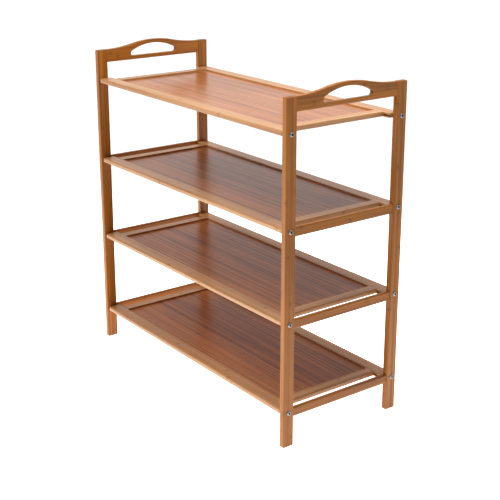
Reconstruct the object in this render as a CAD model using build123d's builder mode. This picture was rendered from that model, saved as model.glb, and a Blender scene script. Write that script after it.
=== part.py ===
"""Tiered shoe rack: two side frames bolted to four framed, panelled shelves.

Millimetres, +Z up. The origin is on the floor under the middle of the rack.
X runs along the shelves (left is -X) and Y runs from the front (-Y) to the rear.
"""
import os

from build123d import *

# Overall sizes, over the legs
length = 700.0
depth = 300.0
leg_height = 700.0

# Legs
leg_thick = 13.0
leg_wide = 25.0
leg_round = 2.0
leg_top_round = 1.5
leg_foot_chamfer = 1.0

# Tiers: heights are those of the bolts, at mid-thickness of a shelf
tier_count = 4
lowest_tier = 73.0
top_tier_drop = 69.0

# Handle board at the top of each side frame
board_thick = 10.0
board_end_high = 29.0
crown_rise = 14.0
crown_bend_share = 0.44    # of the half span, from the middle to where the top edge turns hollow
board_round = 2.0
grip_wide = 152.0
grip_sill = 9.0
grip_crown_wood = 8.7
grip_corner_round = 6.0

# Side rails, one beside every shelf but the top one
side_rail_thick = 9.0
side_rail_high = 19.0
side_rail_drop = 2.5
side_rail_round = 2.5

# Shelf frames
shelf_thick = 10.0
long_rail_wide = 30.0
long_rail_inset = 2.0
long_rail_nose = 3.0
long_rail_corner_round = 6.0
end_rail_wide = 22.0
end_rail_gap = 20.0
end_rail_round = 2.0
inner_edge_round = 1.0

# Panels, held in grooves round the inside of each shelf frame; those of the long rails run to their ends
panel_thick = 4.0
panel_recess = 3.5
groove_depth = 5.0
panel_side_play = 0.3
panel_top_play = 0.1

# Wooden dowels
dowel_dia = 6.0
dowel_chamfer = 0.7
dowel_play = 0.05
shelf_dowel_to_bolt = 2.8    # wood left between these dowels' tips and the bolt holes
shelf_dowel_in_end_rail = 14.0
shelf_dowel_pitch = 8.0
frame_dowel_dia = 5.0
frame_dowel_in_leg = 7.5
frame_dowel_in_rail = 14.0
side_rail_dowel_pitch = 9.0
board_dowel_pitch = 13.0

# Socket-head bolts and their barrel nuts
bolt_dia = 5.0
bolt_reach = 35.0
bolt_play = 0.2
head_dia = 9.5
head_high = 2.75
head_rim = 0.6
head_flat_dia = 5.6
socket_flats = 4.0
socket_depth = 2.2
bolt_tip_chamfer = 0.6
nut_dia = 9.0
nut_cap = 2.0
nut_inset = 15.0
nut_play = 0.1

# Places worked out from the sizes above
left, right = -1, 1
front, rear = -1, 1
sides = {"left": left, "right": right}
rows = {"front": front, "rear": rear}
leg_x = length / 2 - leg_thick / 2
leg_y = depth / 2 - leg_wide / 2
frame_half_span = depth / 2 - leg_wide
shelf_half = length / 2 - leg_thick
opening_half_x = shelf_half - end_rail_gap - end_rail_wide
opening_half_y = depth / 2 - long_rail_inset - long_rail_wide
end_rail_x = opening_half_x + end_rail_wide / 2
long_rail_y = opening_half_y + long_rail_wide / 2
shelf_dowel_in_long_rail = leg_y - bolt_dia / 2 - bolt_play - shelf_dowel_to_bolt - opening_half_y
tier_pitch = (leg_height - top_tier_drop - lowest_tier) / (tier_count - 1)
tier_heights = [lowest_tier + tier_pitch * i for i in range(tier_count)]
side_rail_heights = [z - side_rail_drop for z in tier_heights[:-1]]
board_bottom = leg_height - board_end_high
groove_high = panel_thick + panel_top_play
groove_drop = shelf_thick / 2 - panel_recess - panel_thick / 2 + panel_top_play / 2
shelf_dowel_x = opening_half_x + groove_depth + (end_rail_wide - groove_depth) / 2
frame_dowel_heights = [
    middle + step * pitch / 2
    for middle, pitch in [(z, side_rail_dowel_pitch) for z in side_rail_heights]
    + [(board_bottom + board_end_high / 2, board_dowel_pitch)]
    for step in (-1, 1)
]


def save(block, name):
    """Label a finished piece and write it as one STEP file."""
    block.part.label = name
    export_step(block.part, f"parts/{name}.step")


def frame_dowel_mouths(side, row, heights):
    """The mouths of frame dowel holes, where rails and boards meet a leg's inner edge."""
    with BuildSketch(Plane.XZ.offset(-row * frame_half_span)) as mouths:
        with Locations(*[(side * leg_x, z) for z in heights]):
            Circle(frame_dowel_dia / 2 + dowel_play)
    return mouths.sketch


def leg(side, row, name):
    """A rectangular leg with its bolt holes and the blind dowel holes in its inner edge."""
    with BuildPart() as block:
        with BuildSketch(Plane.XY):
            with Locations((side * leg_x, row * leg_y)):
                RectangleRounded(leg_thick, leg_wide, leg_round)
        extrude(amount=leg_height)
        fillet(block.faces().sort_by(Axis.Z)[-1].edges(), radius=leg_top_round)
        chamfer(block.faces().sort_by(Axis.Z)[0].edges(), length=leg_foot_chamfer)
        with BuildSketch(Plane.YZ.offset(side * leg_x)):
            with Locations(*[(row * leg_y, z) for z in tier_heights]):
                Circle(bolt_dia / 2 + bolt_play)
        extrude(amount=leg_thick, both=True, mode=Mode.SUBTRACT)
        mouths = frame_dowel_mouths(side, row, frame_dowel_heights)
        extrude(mouths, amount=-row * frame_dowel_in_leg, mode=Mode.SUBTRACT)
    save(block, name)


def handle_board(side, name):
    """The arched board between the leg tops, with its half-moon hand grip."""
    half = frame_half_span
    crown = leg_height + crown_rise
    bend = (crown_bend_share * half, leg_height + (1 - crown_bend_share) * crown_rise)
    with BuildPart() as block:
        with BuildSketch(Plane.YZ.offset(side * leg_x)):
            with BuildLine():
                Polyline((-half, leg_height), (-half, board_bottom), (half, board_bottom), (half, leg_height))
                for way in (-1, 1):
                    TangentArc((way * half, leg_height), (way * bend[0], bend[1]), tangent=(-way, 0))
                    TangentArc((0, crown), (way * bend[0], bend[1]), tangent=(way, 0))
            make_face()
        extrude(amount=board_thick / 2, both=True)
        with BuildSketch(Plane.YZ.offset(side * leg_x)) as grip:
            sill = board_bottom + grip_sill
            with BuildLine():
                Line((-grip_wide / 2, sill), (grip_wide / 2, sill))
                ThreePointArc((grip_wide / 2, sill), (0, crown - grip_crown_wood), (-grip_wide / 2, sill))
            make_face()
            fillet(grip.vertices(), radius=grip_corner_round)
        extrude(amount=board_thick, both=True, mode=Mode.SUBTRACT)
        broad_faces = block.faces().filter_by(Plane.YZ).sort_by(SortBy.AREA)[-2:]
        long_edges = [e for e in broad_faces.edges() if abs(e.center().Y) < half - board_round]
        fillet(long_edges, radius=board_round)
        for row in (front, rear):
            mouths = frame_dowel_mouths(side, row, frame_dowel_heights[-2:])
            extrude(mouths, amount=row * frame_dowel_in_rail, mode=Mode.SUBTRACT)
    save(block, name)


def side_rail(side, tier, name):
    """A plain rail between the two legs of a side frame."""
    with BuildPart() as block:
        with BuildSketch(Plane.XZ):
            with Locations((side * leg_x, side_rail_heights[tier])):
                RectangleRounded(side_rail_thick, side_rail_high, side_rail_round)
        extrude(amount=frame_half_span, both=True)
        for row in (front, rear):
            mouths = frame_dowel_mouths(side, row, frame_dowel_heights[2 * tier:2 * tier + 2])
            extrude(mouths, amount=row * frame_dowel_in_rail, mode=Mode.SUBTRACT)
    save(block, name)


def long_rail(row, tier, name):
    """A shelf's front or rear rail: eased outer edge and corners, a groove right through, bores."""
    z = tier_heights[tier]
    inner_y = row * opening_half_y
    with BuildPart() as block:
        with BuildSketch(Plane.XY.offset(z - shelf_thick / 2)) as plan:
            with Locations((0, row * long_rail_y)):
                Rectangle(2 * shelf_half, long_rail_wide)
            outer = plan.vertices().filter_by(lambda v: abs(v.Y) > long_rail_y)
            fillet(outer, radius=long_rail_corner_round)
        extrude(amount=shelf_thick)
        rims = block.faces().filter_by(Axis.Z).edges()
        fillet([e for e in rims if abs(e.center().Y) > long_rail_y], radius=long_rail_nose)
        rims = block.faces().filter_by(Axis.Z).edges().filter_by(Axis.X)
        fillet([e for e in rims if abs(e.center().Y) < long_rail_y], radius=inner_edge_round)
        with BuildSketch(Plane.YZ):
            with Locations((inner_y, z + groove_drop)):
                Rectangle(2 * groove_depth, groove_high)
        extrude(amount=shelf_half, both=True, mode=Mode.SUBTRACT)
        with BuildSketch(Plane.XZ.offset(-inner_y)):
            with Locations(*shelf_dowel_spots(z)):
                Circle(dowel_dia / 2 + dowel_play)
        extrude(amount=-row * shelf_dowel_in_long_rail, mode=Mode.SUBTRACT)
        for side in (left, right):
            with BuildSketch(Plane.YZ.offset(side * shelf_half)):
                with Locations((row * leg_y, z)):
                    Circle(bolt_dia / 2 + bolt_play)
            extrude(amount=-side * (bolt_reach - leg_thick), mode=Mode.SUBTRACT)
        with BuildSketch(Plane.XY.offset(z - shelf_thick / 2)):
            with Locations(*[(side * (shelf_half - nut_inset), row * leg_y) for side in (left, right)]):
                Circle(nut_dia / 2 + nut_play)
        extrude(amount=shelf_thick - nut_cap, mode=Mode.SUBTRACT)
    save(block, name)


def shelf_dowel_spots(z):
    """(X, Z) of the dowels at one long rail: two into each end rail."""
    steps = (-shelf_dowel_pitch / 2, shelf_dowel_pitch / 2)
    return [(side * shelf_dowel_x + step, z) for side in (left, right) for step in steps]


def end_rail(side, tier, name):
    """A shelf's end rail, set in from the side frame, grooved along its inner edge."""
    z = tier_heights[tier]
    with BuildPart() as block:
        with BuildSketch(Plane.XZ) as section:
            with Locations((side * end_rail_x, z)):
                Rectangle(end_rail_wide, shelf_thick)
            outer = section.vertices().filter_by(lambda v: abs(v.X) > end_rail_x)
            inner = section.vertices().filter_by(lambda v: abs(v.X) < end_rail_x)
            fillet(outer, radius=end_rail_round)
            fillet(inner, radius=inner_edge_round)
        extrude(amount=opening_half_y, both=True)
        with BuildSketch(Plane.XZ):
            with Locations((side * opening_half_x, z + groove_drop)):
                Rectangle(2 * groove_depth, groove_high)
        extrude(amount=opening_half_y, both=True, mode=Mode.SUBTRACT)
        for row in (front, rear):
            with BuildSketch(Plane.XZ.offset(-row * opening_half_y)):
                with Locations(*[(x, h) for x, h in shelf_dowel_spots(z) if x * side > 0]):
                    Circle(dowel_dia / 2 + dowel_play)
            extrude(amount=row * shelf_dowel_in_end_rail, mode=Mode.SUBTRACT)
    save(block, name)


def panel(tier, name):
    """The thin board of a shelf, resting on the lower cheeks of the grooves."""
    top = tier_heights[tier] + shelf_thick / 2 - panel_recess
    tongue = groove_depth - panel_side_play
    with BuildPart() as block:
        with BuildSketch(Plane.XY.offset(top - panel_thick)):
            Rectangle(2 * (opening_half_x + tongue), 2 * (opening_half_y + tongue))
        extrude(amount=panel_thick)
    save(block, name)


def dowel_group(spots, dia, ends, name):
    """Separate dowels along Y, one at each (X, Z) spot between each pair of Y ends."""
    with BuildPart() as block:
        for low, high in ends:
            with BuildSketch(Plane.XZ.offset(-low)):
                with Locations(*spots):
                    Circle(dia / 2)
            extrude(amount=low - high)
        chamfer(block.edges().filter_by(GeomType.CIRCLE), length=dowel_chamfer)
    save(block, name)


def bolt_group(side, row, name):
    """The socket-head bolts through one leg, one at each tier."""
    with BuildPart() as block:
        for z in tier_heights:
            foot = (side * length / 2, row * leg_y, z)
            crown = (side * (length / 2 + head_high), row * leg_y, z)
            seat = Plane(origin=foot, x_dir=(side, 0, 0), z_dir=(0, -side, 0))
            head = Plane(origin=crown, z_dir=(side, 0, 0))
            with BuildSketch(seat):
                with BuildLine():
                    Polyline(
                        (head_high, head_flat_dia / 2),
                        (head_high, 0),
                        (-bolt_reach, 0),
                        (-bolt_reach, bolt_dia / 2 - bolt_tip_chamfer),
                        (bolt_tip_chamfer - bolt_reach, bolt_dia / 2),
                        (0, bolt_dia / 2),
                        (0, head_dia / 2),
                        (head_rim, head_dia / 2),
                    )
                    TangentArc((head_rim, head_dia / 2), (head_high, head_flat_dia / 2), tangent=(1, 0))
                make_face()
            revolve(axis=Axis((0, row * leg_y, z), (1, 0, 0)))
            with BuildSketch(head):
                RegularPolygon(radius=socket_flats / 2, side_count=6, major_radius=False)
            extrude(amount=-socket_depth, mode=Mode.SUBTRACT)
    save(block, name)


def nut_group(tier, name):
    """The barrel nuts of one shelf, let into the underside of its long rails."""
    z = tier_heights[tier]
    nut_x = shelf_half - nut_inset
    spots = [(side * nut_x, row * leg_y) for side in (left, right) for row in (front, rear)]
    nut_top = z + shelf_thick / 2 - nut_cap
    with BuildPart() as block:
        with BuildSketch(Plane.XY.offset(nut_top)):
            with Locations(*spots):
                Circle(nut_dia / 2)
        extrude(amount=-(shelf_thick - nut_cap - nut_play))
        with BuildSketch(Plane.YZ):
            with Locations(*[(row * leg_y, z) for row in (front, rear)]):
                Circle(bolt_dia / 2 + dowel_play)
        extrude(amount=length / 2, both=True, mode=Mode.SUBTRACT)
    save(block, name)


os.makedirs("parts", exist_ok=True)

for side_name, side in sides.items():
    handle_board(side, f"handle_board_{side_name}")
    for row_name, row in rows.items():
        leg(side, row, f"leg_{row_name}_{side_name}")
        bolt_group(side, row, f"bolts_{row_name}_{side_name}")
    for tier in range(tier_count - 1):
        side_rail(side, tier, f"side_rail_{side_name}_tier{tier + 1}")
    dowel_group(
        [(side * leg_x, z) for z in frame_dowel_heights],
        frame_dowel_dia,
        [
            (-frame_half_span - frame_dowel_in_leg, -frame_half_span + frame_dowel_in_rail),
            (frame_half_span - frame_dowel_in_rail, frame_half_span + frame_dowel_in_leg),
        ],
        f"frame_dowels_{side_name}",
    )

for tier in range(tier_count):
    for row_name, row in rows.items():
        long_rail(row, tier, f"{row_name}_rail_tier{tier + 1}")
    for side_name, side in sides.items():
        end_rail(side, tier, f"end_rail_{side_name}_tier{tier + 1}")
    panel(tier, f"panel_tier{tier + 1}")
    nut_group(tier, f"barrel_nuts_tier{tier + 1}")
    dowel_group(
        shelf_dowel_spots(tier_heights[tier]),
        dowel_dia,
        [
            (-opening_half_y - shelf_dowel_in_long_rail, -opening_half_y + shelf_dowel_in_end_rail),
            (opening_half_y - shelf_dowel_in_end_rail, opening_half_y + shelf_dowel_in_long_rail),
        ],
        f"shelf_dowels_tier{tier + 1}",
    )
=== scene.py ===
"""Looks of the tiered shoe rack: lacquered strip bamboo, steel bolts, floor, studio light and camera."""
import math

import bpy
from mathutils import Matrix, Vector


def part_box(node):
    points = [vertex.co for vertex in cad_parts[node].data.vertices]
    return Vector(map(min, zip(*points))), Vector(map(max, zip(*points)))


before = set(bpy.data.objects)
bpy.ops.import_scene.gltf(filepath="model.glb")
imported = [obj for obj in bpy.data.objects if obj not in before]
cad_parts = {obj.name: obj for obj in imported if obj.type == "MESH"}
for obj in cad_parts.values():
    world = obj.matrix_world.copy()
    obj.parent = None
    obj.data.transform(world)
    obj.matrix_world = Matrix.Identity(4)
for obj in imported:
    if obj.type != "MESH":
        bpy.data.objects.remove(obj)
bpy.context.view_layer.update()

MM = 0.001
AXES = "XYZ"


class Wire:
    """A socket in a shader's node tree. Arithmetic on wires adds Math nodes."""

    def __init__(self, tree, socket=None):
        self.tree = tree
        self.socket = socket

    def add(self, kind, settings=None, values=None, output=0):
        """Add a node: its settings first, then a value or a wire for each named or numbered socket."""
        node = self.tree.nodes.new(kind)
        for name, setting in (settings or {}).items():
            if name == "stops":
                while len(node.color_ramp.elements) < len(setting):
                    node.color_ramp.elements.new(1.0)
                for stop, (place, colour) in zip(node.color_ramp.elements, setting):
                    stop.position = place
                    stop.color = colour
            else:
                setattr(node, name, setting)
        for name, value in (values or {}).items():
            if isinstance(value, Wire):
                self.tree.links.new(value.socket, node.inputs[name])
            else:
                node.inputs[name].default_value = value
        return Wire(self.tree, node.outputs[output] if node.outputs else None)

    def math(self, operation, *others):
        return self.add("ShaderNodeMath", {"operation": operation}, dict(enumerate((self, *others))))

    def __add__(self, other):
        return self.math("ADD", other)

    __radd__ = __add__

    def __mul__(self, other):
        return self.math("MULTIPLY", other)

    __rmul__ = __mul__

    def __sub__(self, other):
        return self.math("SUBTRACT", other)

    def __rsub__(self, other):
        return self.math("MULTIPLY", -1.0) + other

    def __truediv__(self, other):
        return self.math("DIVIDE", other)

    def rise(self, low, high):
        """0 below low, 1 above high, smooth between."""
        settings = {"interpolation_type": "SMOOTHSTEP"}
        return self.add("ShaderNodeMapRange", settings, {"Value": self, "From Min": low, "From Max": high})

    def fall(self, low, high):
        return 1 - self.rise(low, high)

    def vector(self, x, y, z):
        return self.add("ShaderNodeCombineXYZ", None, {0: x, 1: y, 2: z})

    def blend(self, start, end):
        """Mix two colours by this wire."""
        return self.add("ShaderNodeMix", {"data_type": "RGBA"}, {0: self, 6: start, 7: end}, output=2)

    def noise(self, place, scale, detail=2.0, roughness=0.5):
        values = {"Vector": place, "Scale": scale, "Detail": detail, "Roughness": roughness}
        return self.add("ShaderNodeTexNoise", {"noise_dimensions": "3D"}, values)


def rgb(red, green, blue):
    return (red, green, blue, 1.0)


def new_finish(name):
    material = bpy.data.materials.new(name)
    material.use_nodes = True
    material.node_tree.nodes.clear()
    return material, Wire(material.node_tree)


def finish(tree, values):
    shader = tree.add("ShaderNodeBsdfPrincipled", None, values)
    tree.add("ShaderNodeOutputMaterial", None, {"Surface": shader})


def darker(colour, share):
    return tuple(share * part for part in colour[:3]) + (1.0,)


def strip_bamboo(
    name, grain, strip, light, dark, knuckle, knuckle_pitch, knuckle_strength, gloss, roughness, seed
):
    """Lacquered bamboo glued up from strips.

    grain is the axis that the strips run along; strip gives their size along the other two axes, in
    metres; light and dark are the two ends of the strips' colours, and knuckle that of the node marks,
    which come every knuckle_pitch and show by knuckle_strength; gloss is the lacquer's specular level.
    """
    material, tree = new_finish(name)
    place = tree.add("ShaderNodeTexCoord", output="Object")
    split = {axis: tree.add("ShaderNodeSeparateXYZ", None, {0: place}, output=axis) for axis in AXES}
    along = split[grain]
    across = [split[axis] for axis in AXES if axis != grain]

    cells = [(value / size) + seed for value, size in zip(across, strip)]
    strip_id = tree.vector(cells[0].math("FLOOR"), cells[1].math("FLOOR"), seed)
    solid = {"noise_dimensions": "3D"}
    tone = tree.add("ShaderNodeTexWhiteNoise", solid, {"Vector": strip_id})
    shift = tree.add("ShaderNodeTexWhiteNoise", solid, {"Vector": strip_id}, output="Color")
    phase = tree.add("ShaderNodeSeparateXYZ", None, {0: shift}, output="Y")

    # Long fibres, broader streaks, slow clouds, and the short dark vessels between the fibres
    def drawn_out(length_scale, width_scale, offset=0.0):
        return tree.vector(along * length_scale + offset, *(value * width_scale for value in across))

    fibres = tree.noise(drawn_out(7.0, 900.0, phase * 9.0), 1.0, 5.0, 0.62)
    streaks = tree.noise(drawn_out(3.0, 240.0, phase * 5.0), 1.0, 3.0)
    clouds = tree.noise(drawn_out(5.0, 22.0), 1.0, 3.0)
    vessels = tree.noise(drawn_out(70.0, 2600.0, phase * 31.0), 1.0).rise(0.60, 0.74)

    # One node mark every knuckle_pitch along each strip, at a place of its own
    wobble = (tree.noise(drawn_out(30.0, 260.0), 1.0) - 0.5) * 7.0 * MM
    turn = ((along + wobble) / knuckle_pitch + phase).math("FRACT")
    gap = (turn - 0.5).math("ABSOLUTE") * knuckle_pitch
    mark = gap.fall(0.3 * MM, 1.5 * MM) * knuckle_strength
    halo = gap.fall(1.0 * MM, 9.0 * MM) * knuckle_strength

    # Glue lines between the strips
    seams = []
    for cell, size in zip(cells, strip):
        edge = (0.5 - (cell.math("FRACT") - 0.5).math("ABSOLUTE")) * size
        seams.append(edge.fall(0.05 * MM, 0.35 * MM))
    seam = seams[0].math("MAXIMUM", seams[1])

    # End grain shows on faces square to the strips
    facing = tree.add("ShaderNodeTexCoord", output="Normal")
    square_on = tree.add("ShaderNodeSeparateXYZ", None, {0: facing}, output=grain).math("ABSOLUTE")
    end_face = square_on.rise(0.75, 0.95)
    pores = tree.noise(drawn_out(40.0, 1500.0), 1.0).rise(0.48, 0.62)

    body = tone * 0.30 + fibres * 0.50 + streaks * 1.25 + clouds * 0.45 - 0.75
    colour = body.rise(0.05, 0.95).blend(dark, light)
    shade = darker(dark, 0.55)
    colour = (vessels * 0.40 * (1 - end_face)).blend(colour, shade)
    colour = (halo * 0.35).blend(colour, knuckle)
    colour = (mark * 0.75).blend(colour, darker(knuckle, 0.5))
    colour = (seam * 0.28).blend(colour, shade)
    colour = (end_face * (0.35 + pores * 0.45)).blend(colour, shade)

    grime = roughness + (fibres - 0.5) * 0.16 + vessels * 0.08 + mark * 0.08 + end_face * 0.15
    height = fibres * 0.45 - vessels * 0.5 - seam * 0.8 + halo * 0.5
    bump = tree.add("ShaderNodeBump", None, {"Strength": 0.12, "Distance": 0.12 * MM, "Height": height})
    finish(tree, {
        "Base Color": colour,
        "Roughness": grime,
        "Normal": bump,
        "Specular IOR Level": gloss,
        "Coat Weight": 0.06 * (1 - end_face),
        "Coat Roughness": 0.16,
    })
    return material


honey = rgb(0.42, 0.148, 0.018)
amber = rgb(0.20, 0.060, 0.005)
burnt = rgb(0.150, 0.048, 0.010)
tan = rgb(0.52, 0.270, 0.105)
caramel = rgb(0.33, 0.135, 0.038)
chestnut = rgb(0.46, 0.160, 0.040)
cocoa = rgb(0.150, 0.036, 0.007)
umber = rgb(0.110, 0.034, 0.011)

side_frame = {
    "light": honey, "dark": amber, "knuckle": burnt,
    "knuckle_strength": 0.7, "gloss": 0.26, "roughness": 0.36,
}
shelf_frame = {
    "light": tan, "dark": caramel, "knuckle": amber,
    "knuckle_strength": 0.6, "gloss": 0.55, "roughness": 0.34,
}
panel_board = {
    "light": chestnut, "dark": cocoa, "knuckle": umber,
    "knuckle_strength": 0.2, "gloss": 0.35, "roughness": 0.30,
}
finishes = {
    "leg": strip_bamboo("leg_bamboo", "Z", (12 * MM, 6 * MM), knuckle_pitch=0.43, seed=0.37, **side_frame),
    "frame": strip_bamboo("frame_bamboo", "Y", (10 * MM, 9 * MM), knuckle_pitch=0.39, seed=0.61, **side_frame),
    "long": strip_bamboo("long_bamboo", "X", (10 * MM, 11 * MM), knuckle_pitch=0.41, seed=0.13, **shelf_frame),
    "end": strip_bamboo("end_bamboo", "Y", (7.5 * MM, 11 * MM), knuckle_pitch=0.37, seed=0.83, **shelf_frame),
    "panel": strip_bamboo("panel_bamboo", "X", (5 * MM, 4 * MM), knuckle_pitch=0.61, seed=0.47, **panel_board),
}


def turned_steel(name, colour, roughness, middles, socket=None):
    """Plated steel with fine turning rings round each fastener's own axis, and painted shade, near black,
    within the socket.

    middles gives the two axes square to the fasteners', the fasteners' distance along each, and the
    pitch at which they repeat along the second, if they do.
    """
    material, tree = new_finish(name)
    place = tree.add("ShaderNodeTexCoord", output="Object")
    cloud = tree.noise(place, 260.0, 3.0, 0.6)
    specks = tree.noise(place, 2400.0, 2.0, 0.5)
    first, second, pitch = middles
    u = tree.add("ShaderNodeSeparateXYZ", None, {0: place}, output=first[0]).math("ABSOLUTE") - first[1]
    v = tree.add("ShaderNodeSeparateXYZ", None, {0: place}, output=second[0])
    if pitch:
        v = (((v - second[1]) / pitch + 0.5).math("FRACT") - 0.5) * pitch
    else:
        v = v.math("ABSOLUTE") - second[1]
    radius = (u * u + v * v).math("SQRT")
    rings = (radius * (2 * math.pi / (0.35 * MM))).math("SINE") * 0.5 + 0.5
    tint = cloud.rise(0.3, 0.7).blend(darker(colour, 0.8), colour)
    if socket:
        # Painted shade: the hex socket is coloured near black where the recess would lie in shadow
        tint = radius.fall(0.9 * socket, 1.05 * socket).blend(tint, darker(colour, 0.06))
    bump = tree.add("ShaderNodeBump", None, {"Strength": 0.10, "Distance": 0.05 * MM, "Height": rings})
    finish(tree, {
        "Base Color": tint,
        "Metallic": 1.0,
        "Roughness": roughness + cloud * 0.12 + specks * 0.10,
        "Normal": bump,
    })
    return material


bolt_low, bolt_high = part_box("bolts_front_right")
bolt_y = abs(bolt_low[1] + bolt_high[1]) / 2
nut_low, nut_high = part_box("barrel_nuts_tier1")
first_tier = (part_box("front_rail_tier1")[0][2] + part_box("front_rail_tier1")[1][2]) / 2
tier_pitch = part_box("front_rail_tier2")[0][2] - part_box("front_rail_tier1")[0][2]
dull_steel = rgb(0.36, 0.36, 0.37)
zinc = rgb(0.60, 0.61, 0.63)
nut_radius = 4.5 * MM
socket_radius = 2.5 * MM
finishes["bolt"] = turned_steel(
    "bolt_steel", dull_steel, 0.22, (("Y", bolt_y), ("Z", first_tier), tier_pitch), socket_radius
)
finishes["nut"] = turned_steel(
    "zinc_steel", zinc, 0.30, (("X", nut_high[0] - nut_radius), ("Y", nut_high[1] - nut_radius), None)
)


def raw_dowel():
    """Plain fluted hardwood, inside the joints."""
    material, tree = new_finish("dowel_wood")
    place = tree.add("ShaderNodeTexCoord", output="Object")
    across, along, up = (tree.add("ShaderNodeSeparateXYZ", None, {0: place}, output=axis) for axis in AXES)
    grain = tree.noise(tree.vector(across * 800.0, along * 40.0, up * 800.0), 1.0, 3.0)
    colour = grain.rise(0.3, 0.7).blend(rgb(0.46, 0.31, 0.17), rgb(0.64, 0.48, 0.30))
    bump = tree.add("ShaderNodeBump", None, {"Strength": 0.2, "Distance": 0.1 * MM, "Height": grain})
    finish(tree, {"Base Color": colour, "Roughness": 0.6 + grain * 0.2, "Normal": bump})
    return material


finishes["dowel"] = raw_dowel()

FINISH_OF = {
    "leg_": "leg",
    "handle_board_": "frame",
    "side_rail_": "frame",
    "front_rail_": "long",
    "rear_rail_": "long",
    "end_rail_": "end",
    "panel_": "panel",
    "bolts_": "bolt",
    "barrel_nuts_": "nut",
    "frame_dowels_": "dowel",
    "shelf_dowels_": "dowel",
}
for node_name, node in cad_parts.items():
    key = next(finish_name for prefix, finish_name in FINISH_OF.items() if node_name.startswith(prefix))
    node.data.materials.clear()
    node.data.materials.append(finishes[key])


floor_half = 30.0
pool_middle = (-0.30, -0.35)
pool_reach = (0.9, 1.8)
pool_glow = 0.75
far_glow = 0.12
glow_strength = 1.5


def pale_floor():
    """A plain white floor, wide enough to fill every view, that glows of itself as well as being lit."""
    mesh = bpy.data.meshes.new("studio_floor")
    corners = [(x * floor_half, y * floor_half, 0) for x, y in ((-1, -1), (1, -1), (1, 1), (-1, 1))]
    mesh.from_pydata(corners, [], [(0, 1, 2, 3)])
    floor = bpy.data.objects.new("studio_floor", mesh)
    bpy.context.scene.collection.objects.link(floor)
    material, tree = new_finish("floor_paper")
    place = tree.add("ShaderNodeTexCoord", output="Object")
    cloud = tree.noise(place, 3.0, 2.0)
    # The paper glows most in the lit pool around the rack, a little in front and to its left
    x, y = (tree.add("ShaderNodeSeparateXYZ", None, {0: place}, output=axis) for axis in "XY")
    u, v = x - pool_middle[0], y - pool_middle[1]
    pool = (u * u + v * v).math("SQRT").fall(*pool_reach)
    finish(tree, {
        "Base Color": cloud.blend(rgb(0.90, 0.90, 0.90), rgb(0.94, 0.94, 0.94)),
        "Roughness": 0.9,
        "Emission Color": (pool * pool_glow + far_glow).blend(rgb(0.0, 0.0, 0.0), rgb(1.0, 1.0, 1.0)),
        "Emission Strength": glow_strength,
    })
    mesh.materials.append(material)


# Sky brightness by the upward part of its direction, and how it dims toward the right
sky_levels = ((0.0, 1.3), (0.24, 1.3), (0.36, 0.26), (0.52, 0.22), (0.80, 1.3))
dim_reach = (0.12, 0.45)
dim_share = 0.94


def hang(name, light, place, turn):
    lamp = bpy.data.objects.new(name, light)
    lamp.location = place
    lamp.rotation_euler = [math.radians(angle) for angle in turn]
    bpy.context.scene.collection.objects.link(lamp)


def soft_light():
    """A studio bright low down and overhead, dimmer between and toward the right, with two lamps.

    The broad key light comes from the front left, and the top light is aimed at the left side frame.
    """
    world = bpy.data.worlds.new("soft_studio")
    world.use_nodes = True
    world.node_tree.nodes.clear()
    tree = Wire(world.node_tree)
    place = tree.add("ShaderNodeTexCoord", output="Generated")
    right, up = (tree.add("ShaderNodeSeparateXYZ", None, {0: place}, output=axis) for axis in "XZ")
    stops = [(height, rgb(level, level, level)) for height, level in sky_levels]
    glow = tree.add("ShaderNodeValToRGB", {"stops": stops}, {0: up})
    strength = 1 - right.rise(*dim_reach) * dim_share
    sky = tree.add("ShaderNodeBackground", None, {"Color": glow, "Strength": strength})
    tree.add("ShaderNodeOutputWorld", None, {"Surface": sky})
    bpy.context.scene.world = world

    key_light = bpy.data.lights.new("key_light", "SUN")
    key_light.energy = 1.35
    key_light.angle = math.radians(40)
    hang("key_light", key_light, (0.0, 0.0, 0.0), (40, 0, -38))
    top_light = bpy.data.lights.new("top_light", "AREA")
    top_light.size = 0.6
    top_light.energy = 10.0
    hang("top_light", top_light, (0.30, 0.0, 1.45), (0, 40, 0))


def camera():
    """Seen from the front right, a little above the rack."""
    lens = bpy.data.cameras.new("camera")
    lens.lens = 79.2
    lens.shift_y = -0.08
    eye = bpy.data.objects.new("camera", lens)
    eye.location = (1.8622, -1.3580, 1.0806)
    azimuth, elevation = 53.32, 16.95
    eye.rotation_euler = (math.radians(90 - elevation), 0, math.radians(azimuth))
    bpy.context.scene.collection.objects.link(eye)
    bpy.context.scene.camera = eye


pale_floor()
soft_light()
camera()
bpy.context.scene.view_settings.view_transform = "Standard"
